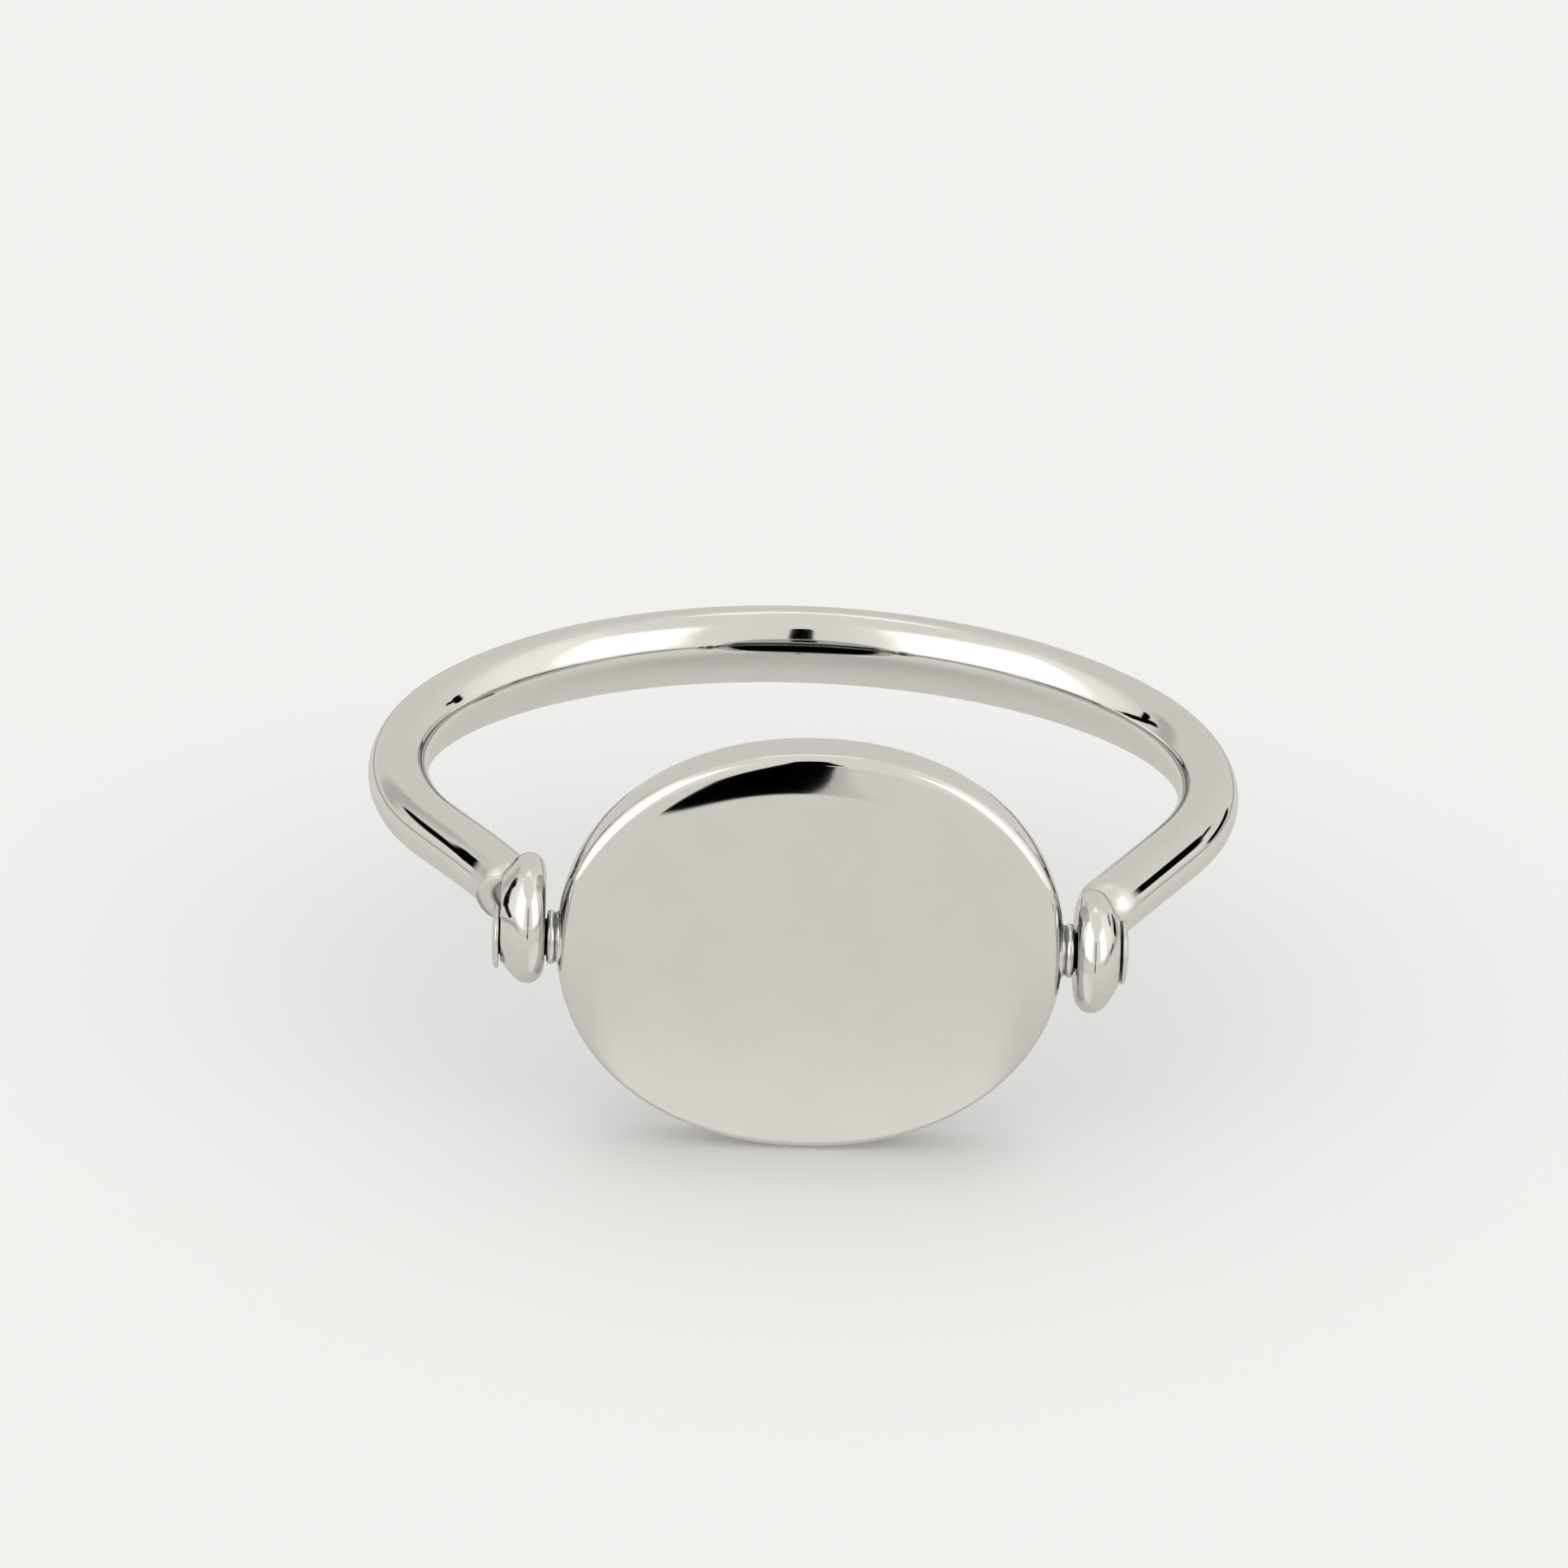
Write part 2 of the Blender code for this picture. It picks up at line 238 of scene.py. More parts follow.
def half_centre_line():
    """Points, headings and shares of length along the wire's right half, from the back to the tip's dome."""
    back = BACK_RADIUS * BACK_SWEEP
    side = SIDE_RADIUS * SIDE_SWEEP
    heading = BACK_SWEEP + SIDE_SWEEP
    # Where plain arcs and a straight arm end
    x = (BACK_RADIUS - SIDE_RADIUS) * math.sin(BACK_SWEEP) + SIDE_RADIUS * math.sin(heading)
    y = BACK_Y - BACK_RADIUS + (BACK_RADIUS - SIDE_RADIUS) * math.cos(BACK_SWEEP)
    y += SIDE_RADIUS * math.cos(heading)
    reach = (x - EYELET_X) / -math.cos(heading) - TIP_SET
    end = np.array([x + math.cos(heading) * reach, y - math.sin(heading) * reach])
    length = back + side + reach
    s = np.arange(-BEND_EASE, length + BEND_EASE, CENTRE_LINE_STEP)
    past_back = np.where(np.abs(s) < back + side, 1 / SIDE_RADIUS, 0.0)
    bend = np.where(np.abs(s) < back, 1 / BACK_RADIUS, past_back)
    kernel = np.hanning(int(BEND_EASE / CENTRE_LINE_STEP))
    bend = np.convolve(bend, kernel / kernel.sum(), mode="same")
    kept = (s >= 0) & (s <= length)
    s, bend = s[kept], bend[kept]
    angle = np.concatenate([[0], np.cumsum((bend[1:] + bend[:-1]) / 2 * CENTRE_LINE_STEP)])
    angle *= heading / angle[-1]
    step = np.stack([np.cos(angle), -np.sin(angle)], 1) * CENTRE_LINE_STEP
    path = np.concatenate([[[0, BACK_Y]], [0, BACK_Y] + np.cumsum((step[1:] + step[:-1]) / 2, 0)])
    share = (s / s[-1])[:, None]
    path += (end - path[-1]) * smoothstep(share)
    count = round(length / WIRE_STEP)
    pick = np.linspace(0, len(s) - 1, count + 1).round().astype(int)
    return path[pick], angle[pick], s[pick] / s[-1]


def wire_radii(share):
    """Half thickness and half height of the wire at a share of the way from the back to the tip."""
    blend = smoothstep(share)
    thick = WIRE_THICKNESS_BACK + (WIRE_THICKNESS_ARM - WIRE_THICKNESS_BACK) * blend
    high = WIRE_HEIGHT_BACK + (WIRE_HEIGHT_ARM - WIRE_HEIGHT_BACK) * blend
    return thick / 2, high / 2


def eyelet_profile(side):
    """(x, radius) over an eyelet's outside, from the inner face to the outer, x from mid-thickness."""
    rim = EYELETS[side]["radius"]
    width = EYELET_HALF - CREST_SET_IN
    inner = np.linspace(-math.pi / 2, 0, EYELET_INNER_POINTS)
    outer = np.linspace(0, FLANK_SLOPE, EYELET_OUTER_POINTS)[1:]
    flank_x = CREST_ROUND * math.sin(FLANK_SLOPE) - CREST_SET_IN
    flank_radius = rim - CREST_ROUND * (1 - math.cos(FLANK_SLOPE))
    run = EYELET_HALF - flank_x
    bow = flank_radius - FLAT_RADIUS[side] - run * math.tan(FLANK_SLOPE)
    share = np.linspace(0, 1, EYELET_OUTER_POINTS)[1:]
    x = [
        width * np.sin(inner) - CREST_SET_IN,
        CREST_ROUND * np.sin(outer) - CREST_SET_IN,
        flank_x + run * share,
    ]
    radius = [
        rim - INNER_ROUND * (1 - np.cos(inner)),
        rim - CREST_ROUND * (1 - np.cos(outer)),
        flank_radius - run * math.tan(FLANK_SLOPE) * share - bow * share**2,
    ]
    return np.concatenate(x), np.concatenate(radius)


def gradient(field, p, step=1e-4):
    """Unit normals of a distance field."""
    parts = []
    for axis in range(3):
        d = np.zeros(3)
        d[axis] = step
        parts.append((field(p + d) - field(p - d)) / (2 * step))
    g = np.stack(parts, -1)
    return g / np.linalg.norm(g, axis=-1, keepdims=True)


def wire_rings(side):
    """Rings of one half of the wire, back to tip, as if on the right, ending in solder on the eyelet."""
    eyelet = EYELETS[side]
    fillet = SOLDER_FILLET[side]
    path, heading, share = half_centre_line()
    turn = np.linspace(0, 2 * math.pi, WIRE_SEGMENTS, endpoint=False)
    up = np.array([0, 0, 1.0])

    profile_x, profile_radius = eyelet_profile(side)
    profile_tilt = np.gradient(profile_radius, profile_x)

    def eyelet_field(p):
        """Distance from the eyelet's outside, without its bore."""
        q = p - eyelet["centre"]
        over = np.hypot(q[..., 1], q[..., 2]) - np.interp(q[..., 0], profile_x, profile_radius)
        return over / np.hypot(1, np.interp(q[..., 0], profile_x, profile_tilt))

    def ring_at(point, angle, radius, height, rise):
        outward = np.array([math.sin(angle), math.cos(angle), 0])
        centre = np.array([point[0], point[1], SHANK_Z + rise])
        return centre + np.cos(turn)[:, None] * radius * outward + np.sin(turn)[:, None] * height * up

    # Surface lines of the tip: straight, then over a round dome
    angle = heading[-1]
    along = np.array([math.cos(angle), -math.sin(angle), 0])
    outward = np.array([math.sin(angle), math.cos(angle), 0])
    centre = np.array([path[-1][0], path[-1][1], SHANK_Z + ARM_RISE[side]])
    radius, height = wire_radii(1.0)
    spoke = np.cos(turn)[:, None] * radius * outward + np.sin(turn)[:, None] * height * up

    def surface(reach):
        """Points on the tip at a distance along its surface lines, from the dome's start."""
        bend = np.clip(reach / radius, 0, math.pi / 2)
        straight = np.minimum(reach, 0)
        return (centre + along * (straight + radius * np.sin(bend))[..., None]
                + spoke * np.cos(bend)[..., None])

    def wire_field(p):
        """Distance from the arm's centre line, or from its end."""
        behind = np.minimum((p - centre) @ along, 0)
        return np.linalg.norm(p - centre - behind[..., None] * along, axis=-1)

    scan = np.linspace(-SCAN_BACK, radius * math.pi / 2, SCAN_POINTS)
    values = np.stack([eyelet_field(surface(np.full(WIRE_SEGMENTS, r))) for r in scan])
    meet = scan[(values < 0).argmax(0)]
    corner = surface(meet)
    wire_normal = gradient(wire_field, corner)
    eyelet_normal = gradient(eyelet_field, corner)
    spread = wire_normal - (wire_normal * eyelet_normal).sum(1)[:, None] * eyelet_normal
    spread /= np.linalg.norm(spread, axis=1)[:, None]
    foot = corner + spread * fillet
    keep_off = HEAD_RADIUS + 2 * CLEARANCE
    for points in (corner, foot):
        radial = points - [EYELET_X, PIVOT[1], PIVOT[2]]
        radial[:, 0] = 0
        rho = np.linalg.norm(radial, axis=1)
        near = (rho < keep_off) & (points[:, 0] > EYELET_X + EYELET_HALF / 2)
        points[near] += radial[near] * (keep_off / rho[near] - 1)[:, None]
    for _ in range(SETTLE_STEPS):
        foot -= gradient(eyelet_field, foot) * eyelet_field(foot)[:, None]
    start = surface(meet - fillet)

    # Plain sections as far as the start of the joint, then rings that lean to meet it
    lean_from = min(meet) - fillet - LEAN_LENGTH
    reach_of = -(1 - share) * (len(share) - 1) * WIRE_STEP
    rings = []
    for point, turned, along_share, back_from_tip in zip(path, heading, share, reach_of):
        if back_from_tip < lean_from:
            rise = ARM_RISE[side] * smoothstep(1 + (back_from_tip - lean_from) / ARM_RISE_LENGTH)
            rings.append(ring_at(point, turned, *wire_radii(along_share), rise))
    begin = reach_of[reach_of < lean_from][-1]
    for k in range(1, LEAN_STEPS + 1):
        rings.append(surface(begin + (meet - fillet - begin) * k / LEAN_STEPS))
    for k in range(1, FILLET_STEPS + 1):
        t = k / FILLET_STEPS
        bead = start * (1 - t) ** 2 + corner * 2 * t * (1 - t) + foot * t * t
        swell = SOLDER_LUMPS[side] * math.sin(math.pi * t) ** 0.5 if t < 1 else 0.0
        coarse = np.array([noise.noise(Vector(p) * LUMPS_PER_MM) for p in bead])
        fine = np.array([noise.noise(Vector(p) * FINE_LUMPS_PER_MM) for p in bead])
        lump = swell * (coarse + 0.5 * fine)
        rings.append(bead + (wire_normal + eyelet_normal) / 2 * lump[:, None])
    tuck = foot - gradient(eyelet_field, foot) * CLEARANCE
    rings.append(tuck)
    middle = tuck.mean(0)
    rings.append(middle + (tuck - middle) * 0.5)
    return np.array(rings)


def make_shank():
    """The wire, from the left tip round the back to the right tip, with its solder."""
    right = wire_rings(1)
    left = wire_rings(-1)[:0:-1] * [-1, 1, 1]
    shank = grid_mesh("shank_wire", np.concatenate([left, right]), flip=True)
    return dress(shank, "shank", "shank", "shank")


def make_eyelet(word, side):
    """A thick ring with a round crest and a sloping outer flank, whose hole may sit off its middle."""
    half = EYELET_HALF
    x, radius = eyelet_profile(side)
    first = EYELET_BORE + BORE_BEVEL
    inner_face = np.linspace(first, radius[0], EYELET_FACE_POINTS)[:-1]
    outer_face = np.linspace(radius[-1], first, EYELET_FACE_POINTS)[1:]
    points = [(-half + BORE_BEVEL, EYELET_BORE, 0.0)]
    points += [(-half, r, (r - first) / (radius[0] - first)) for r in inner_face]
    points += [(a, r, 1.0) for a, r in zip(x, radius)]
    points += [(half, r, (r - first) / (radius[-1] - first)) for r in outer_face]
    points += [(half - BORE_BEVEL, EYELET_BORE, 0.0)]
    points = np.array(points)
    off_axis = points[:, 2:] * (EYELETS[side]["centre"] - PIVOT)[1:]
    profile = points[:, :2] + [EYELET_X, 0]
    obj = revolved("eyelet_ring_" + word, profile, side, closed=True, off_axis=off_axis)
    return dress(obj, "eyelet_" + word, "shank", "eyelets")


# ---------------------------------------------------------------- plate, pins and collars

def plate_edge():
    """(inset, y) points over the front half of the plate's edge, from the flat to mid-rim."""
    slope = math.atan(2 * PILLOW_DROP / PILLOW_WIDTH)
    start = EDGE_ROUND * (1 - math.sin(slope))
    face = -PLATE_HALF_THICKNESS
    across = np.linspace(0, 1, PILLOW_POINTS)[:-1]
    points = [(start + PILLOW_WIDTH * (1 - t), face + PILLOW_DROP * t * t) for t in across]
    centre_y = face + PILLOW_DROP + EDGE_ROUND * math.cos(slope)
    for a in np.linspace(slope, math.pi / 2, EDGE_POINTS):
        points.append((EDGE_ROUND * (1 - math.sin(a)), centre_y - EDGE_ROUND * math.cos(a)))
    points += [(0.0, y) for y in np.linspace(centre_y, 0, RIM_POINTS)[1:]]
    points = np.array(points)
    bulge = RIM_BULGE * np.clip(1 - (points[:, 1] / centre_y) ** 2, 0, 1)
    points[:, 0] -= bulge * (points[:, 1] > centre_y)
    return points


def make_plate():
    """The plate, as outlines that run over the front face, the rim and the back face."""
    turn = np.linspace(0, 2 * math.pi, OUTLINE_POINTS, endpoint=False)
    c, s = np.cos(turn), np.sin(turn)
    ex = np.sign(c) * np.abs(c) ** (2 / PLATE_POWER)
    ez = np.sign(s) * np.abs(s) ** (2 / PLATE_POWER)
    edge = plate_edge()
    flat_inset = edge[0, 0]
    insets = [PLATE_HALF_HEIGHT * share for share in FACE_RING_SHARES]
    insets += [flat_inset + further for further in FACE_RING_INSETS]
    inner = [(inset, -PLATE_HALF_THICKNESS) for inset in insets]
    front = np.concatenate([inner, edge])
    back = front[-2::-1] * [1, -1]
    rings = []
    for inset, y in np.concatenate([front, back]):
        x = ex * (PLATE_HALF_WIDTH - inset)
        z = ez * (PLATE_HALF_HEIGHT - inset)
        rings.append(np.stack([x, np.full_like(x, PIVOT[1] + y), PIVOT[2] + z], 1))
    plate = grid_mesh("plate_polished", rings)
    return dress(plate, "signet_plate", "plate", "plate")


def make_pin(word, side):
    """The pin: a plain shaft through the eyelet and a low domed head outside it."""
    under = EYELET_X + EYELET_HALF + CLEARANCE
    shaft = COLLAR_BORE - CLEARANCE / 2
    rise = HEAD_TOP - under
    profile = [
        (COLLAR_LOW[0], shaft),
        (under, shaft),
        (under, HEAD_RADIUS - HEAD_BEVEL_WIDTH),
        (under + HEAD_BEVEL_HEIGHT, HEAD_RADIUS),
    ]
    for a in np.linspace(0, math.pi / 2, HEAD_POINTS)[:-1]:
        height = HEAD_EDGE + (rise - HEAD_EDGE) * math.sin(a)
        profile.append((under + height, HEAD_RADIUS * math.cos(a) ** HEAD_FULLNESS))
    profile.append((HEAD_TOP, HEAD_MIDDLE))
    pin = revolved("pin_" + word, profile, side)
    return dress(pin, "pivot_pin_" + word, "plate", "pins")


def make_collar(word, side):
    """Two turned beads on the pin, between the plate's rim and the eyelet."""
    inner, outer = COLLAR_LOW[0] - COLLAR_SINK, COLLAR_HIGH[0]
    half = (outer - inner) / 4
    profile = [(inner, COLLAR_BORE)]
    for centre in (inner + half, outer - half):
        for a in np.linspace(math.pi, 0, BEAD_POINTS):
            profile.append((centre + half * math.cos(a), COLLAR_RADIUS - COLLAR_BEAD * (1 - math.sin(a))))
    profile.append((outer, COLLAR_BORE))
    beads = revolved("collar_beads_" + word, profile, side, closed=True)
    return dress(beads, "collar_" + word, "plate", "collars")


# ---------------------------------------------------------------- shader arithmetic

class Field:
    """A number worked out by shader nodes, so that patterns are written as plain arithmetic."""

    def __init__(self, tree, value):
        self.tree = tree
        self.value = value

    def math(self, operation, *others):
        node = self.tree.nodes.new("ShaderNodeMath")
        node.operation = operation
        for socket, term in zip(node.inputs, (self, *others)):
            feed(self.tree, term, socket)
        return Field(self.tree, node.outputs[0])

    def __add__(self, other):
        return self.math("ADD", other)

    def __sub__(self, other):
        return self.math("SUBTRACT", other)

    def __rsub__(self, other):
        return Field(self.tree, other).math("SUBTRACT", self)

    def __mul__(self, other):
        return self.math("MULTIPLY", other)

    def __truediv__(self, other):
        return self.math("DIVIDE", other)

    __radd__ = __add__
    __rmul__ = __mul__


def feed(tree, term, socket):
    """Put a field, a node output or a plain number on an input."""
    value = term.value if isinstance(term, Field) else term
    if isinstance(value, bpy.types.NodeSocket):
        tree.links.new(value, socket)
    else:
        socket.default_value = value


def ramp(x, low, high):
    """0 below low, 1 above high, smooth between."""
    node = x.tree.nodes.new("ShaderNodeMapRange")
    node.interpolation_type = "SMOOTHSTEP"
    feed(x.tree, x, node.inputs["Value"])
    node.inputs["From Min"].default_value = low
    node.inputs["From Max"].default_value = high
    return Field(x.tree, node.outputs["Result"])


def inside(x, low, high, soft):
    """1 between low and high, 0 outside, with edges that are soft both ways."""
    return ramp(x, low - soft, low + soft) * (1 - ramp(x, high - soft, high + soft))


def mix(first, second, share):
    """From the first value to the second as the share goes from 0 to 1."""
    return first + (second - first) * share


def streak(x, y, start, end, half_width, soft):
    """1 on a line with round ends between two points of a plane, 0 away from it."""
    dx, dy = end[0] - start[0], end[1] - start[1]
    along = ((x - start[0]) * dx + (y - start[1]) * dy) / (dx * dx + dy * dy)
    along = along.math("MAXIMUM", 0.0).math("MINIMUM", 1.0)
    off_x = x - start[0] - along * dx
    off_y = y - start[1] - along * dy
    distance = (off_x * off_x + off_y * off_y).math("SQRT")
    return 1 - ramp(distance, half_width - soft, half_width + soft)


def split(tree, vector):
    """The three parts of a vector."""
    node = tree.nodes.new("ShaderNodeSeparateXYZ")
    tree.links.new(vector, node.inputs[0])
    return [Field(tree, output) for output in node.outputs]


def noise_field(tree, vector, scale, detail=2.0, stretch=(1, 1, 1), turn=(0, 0, 0)):
    """Smooth noise with a mean of one half."""
    mapping = tree.nodes.new("ShaderNodeMapping")
    mapping.inputs["Scale"].default_value = stretch
    mapping.inputs["Rotation"].default_value = turn
    tree.links.new(vector, mapping.inputs["Vector"])
    node = tree.nodes.new("ShaderNodeTexNoise")
    node.inputs["Scale"].default_value = scale
    node.inputs["Detail"].default_value = detail
    tree.links.new(mapping.outputs[0], node.inputs["Vector"])
    return Field(tree, node.outputs[0])


def colour(tree, parts):
    """A colour from its red, green and blue parts."""
    node = tree.nodes.new("ShaderNodeCombineXYZ")
    for socket, part in zip(node.inputs, parts):
        feed(tree, part, socket)
    return node.outputs[0]


# ---------------------------------------------------------------- silver

SILVER = (0.93, 0.93, 0.925)
SCRATCH_TURNS = ((0.3, 0.2, 0.9), (1.1, 0.7, 0.1), (0.6, 1.9, 1.4))  # the ways that scratches run
PER_MM = 1000.0  # a noise scale of one feature for each millimetre, in an object measured in metres
SEAM_DULLNESS = 0.26  # roughness added where the silver was soldered
SEAM_REACH = 0.25  # how far past an eyelet's rim the dullness is full
SEAM_FADE = 0.4
SEAM_RAGGEDNESS = 0.6  # how far the dull patch's edge wanders


def silver(name, grain, roughness, smudge, wear, wave, scratch, seams=()):
    """Polished silver with faint clouds and smudges, hand-polished waviness, fine scratches and wheel marks.

    grain marks the axes along which wheel marks are drawn out. wear scales how far scratches show in colour
    and gloss. wave and scratch are heights in millimetres. seams are (x, y, z, reach) places, in millimetres,
    where solder has left the silver duller.
    """
    mat = bpy.data.materials.new(name)
    mat.use_nodes = True
    tree = mat.node_tree
    shader = tree.nodes["Principled BSDF"]
    place = tree.nodes.new("ShaderNodeTexCoord").outputs["Object"]

    smear = noise_field(tree, place, 0.55 * PER_MM, 3.0)
    patch = noise_field(tree, place, 0.9 * PER_MM, 4.0)
    drawn = tuple(0.12 if along else 1.0 for along in grain)
    wheel = noise_field(tree, place, 9.0 * PER_MM, 3.0, stretch=drawn)
    scratches = 0.0
    for turn in SCRATCH_TURNS:
        lines = noise_field(tree, place, 5.0 * PER_MM, 1.0, stretch=(0.06, 1.0, 1.0), turn=turn)
        scratches = ramp(lines, 0.66, 0.72) + scratches

    level = mix(0.98, 1.0, ramp(patch, 0.35, 0.6)) * (1 - 0.05 * wear * scratches)
    tree.links.new(colour(tree, [level * part for part in SILVER]), shader.inputs["Base Color"])
    shader.inputs["Metallic"].default_value = 1.0
    spread = roughness + smudge * (ramp(smear, 0.45, 0.75) + wear * scratches)
    for x, y, z, reach in seams:
        apart = tree.nodes.new("ShaderNodeVectorMath")
        apart.operation = "DISTANCE"
        tree.links.new(place, apart.inputs[0])
        apart.inputs[1].default_value = (x * MM, y * MM, z * MM)
        away = Field(tree, apart.outputs["Value"]) / MM + (patch - 0.5) * SEAM_RAGGEDNESS
        spread = spread + SEAM_DULLNESS * (1 - ramp(away, reach, reach + SEAM_FADE))
    feed(tree, spread, shader.inputs["Roughness"])

    height = wave * smear + scratch * (wheel - scratches * 0.3)
    bump = tree.nodes.new("ShaderNodeBump")
    bump.inputs["Strength"].default_value = 1.0
    bump.inputs["Distance"].default_value = MM
    feed(tree, height, bump.inputs["Height"])
    tree.links.new(bump.outputs[0], shader.inputs["Normal"])
    return mat


def finish_pieces():
    """One silver for each kind of piece."""
    drawn_down, turned = (False, False, True), (False, True, True)
    seams = []
    for side, _ in SIDES:
        _, y, z = EYELETS[side]["centre"]
        seams.append((side * EYELET_X, y, z, EYELETS[side]["radius"] + SEAM_REACH))
    wire = {"roughness": 0.035, "smudge": 0.03, "wear": 0.2, "wave": 0.0005, "scratch": 0.00001}
    eyelets = {"roughness": 0.05, "smudge": 0.05, "wear": 0.5, "wave": 0.0006, "scratch": 0.00004}
    plate = {"roughness": 0.03, "smudge": 0.02, "wear": 0.05, "wave": 0.0001, "scratch": 0.000001}
    pins = {"roughness": 0.11, "smudge": 0.08, "wear": 1.0, "wave": 0.0004, "scratch": 0.0002}
    collars = {"roughness": 0.10, "smudge": 0.08, "wear": 1.0, "wave": 0.0002, "scratch": 0.0002}
    looks = {
        "shank": silver("silver_wire", drawn_down, seams=seams, **wire),
        "eyelets": silver("silver_eyelets", drawn_down, **eyelets),
        "plate": silver("silver_plate", drawn_down, **plate),
        "pins": silver("silver_pins", turned, **pins),
        "collars": silver("silver_collars", turned, **collars),
    }
    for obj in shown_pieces():
        obj.data.materials.clear()
        obj.data.materials.append(looks[obj["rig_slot"]])


# ---------------------------------------------------------------- stage

# The camera looks down at the ring, a little from its left, through a long lens
CAMERA_AIM = (-0.46, 0.35, 0.30)
CAMERA_DISTANCE = 160.5
CAMERA_DOWN = math.radians(22.2)
CAMERA_ASIDE = math.radians(1.80)
CAMERA_ROLL = math.radians(2.24)
CAMERA_LENS = 154.0
SENSOR = 36.0

PAPER = (0.888, 0.880, 0.863)
PAINTED_SHADE = (0.058, 0.050, 0.033)  # how much of each colour the painted wide soft shadow takes
TENT = (1.0, 0.968, 0.902)  # the warm cast of the tent's cloth
FLOOR_REACH = 700.0
FLOOR_GAP = 0.02  # between the floor and the plate's lowest point

# The light tent's side openings: two ends, as (azimuth, elevation), and a half width, in degrees
SIDE_GAPS = (
    ((-97.0, -2.0), (-110.0, 5.5), 1.9),
    ((-109.0, 5.0), (-119.0, 11.0), 3.0),
    ((-119.5, 12.0), (-126.0, 15.0), 2.8),
    ((-119.5, 15.0), (-123.5, 23.0), 2.2),
    ((121.0, 9.5), (124.0, 16.0), 2.8),
    ((124.0, 13.0), (129.0, 14.0), 1.8),
    ((138.0, -1.0), (126.5, -2.5), 3.0),
    ((114.0, -5.0), (103.0, -7.0), 1.3),
)
SIDE_GAP_SOFTNESS = 0.7


def add_camera():
    """A long lens a little above the ring, looking at the plate's front."""
    data = bpy.data.cameras.new("camera")
    data.sensor_width = SENSOR
    data.lens = CAMERA_LENS
    data.clip_start = 0.01
    data.clip_end = 10
    camera = bpy.data.objects.new("camera", data)
    aim = Matrix.Translation(Vector(CAMERA_AIM) * MM)
    turn = Matrix.Rotation(-CAMERA_ASIDE, 4, "Z") @ Matrix.Rotation(math.pi / 2 - CAMERA_DOWN, 4, "X")
    back = Matrix.Translation(Vector((0, 0, CAMERA_DISTANCE)) * MM)
    camera.matrix_world = aim @ turn @ back @ Matrix.Rotation(CAMERA_ROLL, 4, "Z")
    bpy.context.scene.collection.objects.link(camera)
    bpy.context.scene.camera = camera


def bearings(tree, direction):
    """Azimuth and elevation of a direction in degrees. Azimuth 0 is the front, 90 is the ring's right."""
    x, y, z = split(tree, direction)
    azimuth = x.math("ARCTAN2", 0 - y).math("DEGREES")
    elevation = z.math("ARCSINE").math("DEGREES")
    return azimuth, elevation


def tent_gaps(azimuth, elevation):
    """How dark the light tent's openings are, as seen from the ring: 1 is black."""
    lens = streak(azimuth, elevation, (0.9, 8.0), (0.9, 37.4), 3.5, 0.5)
    slit = inside(azimuth, -2.4, 2.7, 0.3) * inside(elevation, -3.0, 10.0, 1.0)
    # Below the horizon the slit opens to a wedge with a slanting foot and a straight right side
    left_edge = azimuth - elevation * 0.36 + 2.0
    foot = elevation + azimuth * 0.92 + 18.2
    right_edge = azimuth - elevation * 0.055 - 3.10
    low = ramp(left_edge, -0.4, 0.4) * ramp(foot, -0.6, 0.6) * (1 - ramp(elevation, -1.0, 1.0))
    wedge = low * (1 - ramp(right_edge, -0.08, 0.08))
    frayed = (azimuth * 43.0).math("SINE") * (azimuth * 71.0 + elevation * 0.6).math("SINE") * 0.5 + 0.5
    feather = low * (1 - ramp(right_edge, 0.0, 1.5)) * (0.12 + 0.30 * frayed)
    gaps = lens
    for gap in (slit, wedge, feather):
        gaps = gaps.math("MAXIMUM", gap)
    for start, end, half_width in SIDE_GAPS:
        gaps = gaps.math("MAXIMUM", streak(azimuth, elevation, start, end, half_width, SIDE_GAP_SOFTNESS))
    return gaps


def painted_shade_of_later_reflections(tree, azimuth, elevation):
    """Share of light left in later reflections, as painted shade: pieces that face each other show each other
    darker and see less tent.
    """
    depth = Field(tree, tree.nodes.new("ShaderNodeLightPath").outputs["Glossy Depth"])
    again = ramp(depth, 1.2, 1.8)
    further = ramp(depth, 2.2, 2.8)
    side = azimuth.math("ABSOLUTE")
    # Painted shade: behind the ring, later reflections see black.
    behind = inside(side, 158.0, 200.0, 2.0) * inside(elevation, -20.0, 4.4, 0.6)
    behind = behind.math("MAXIMUM", inside(side, 176.2, 200.0, 0.5) * inside(elevation, 6.6, 20.0, 0.6))
    return (1 - again * (1 - 0.66 * (1 - behind))) * (1 - 0.75 * further)


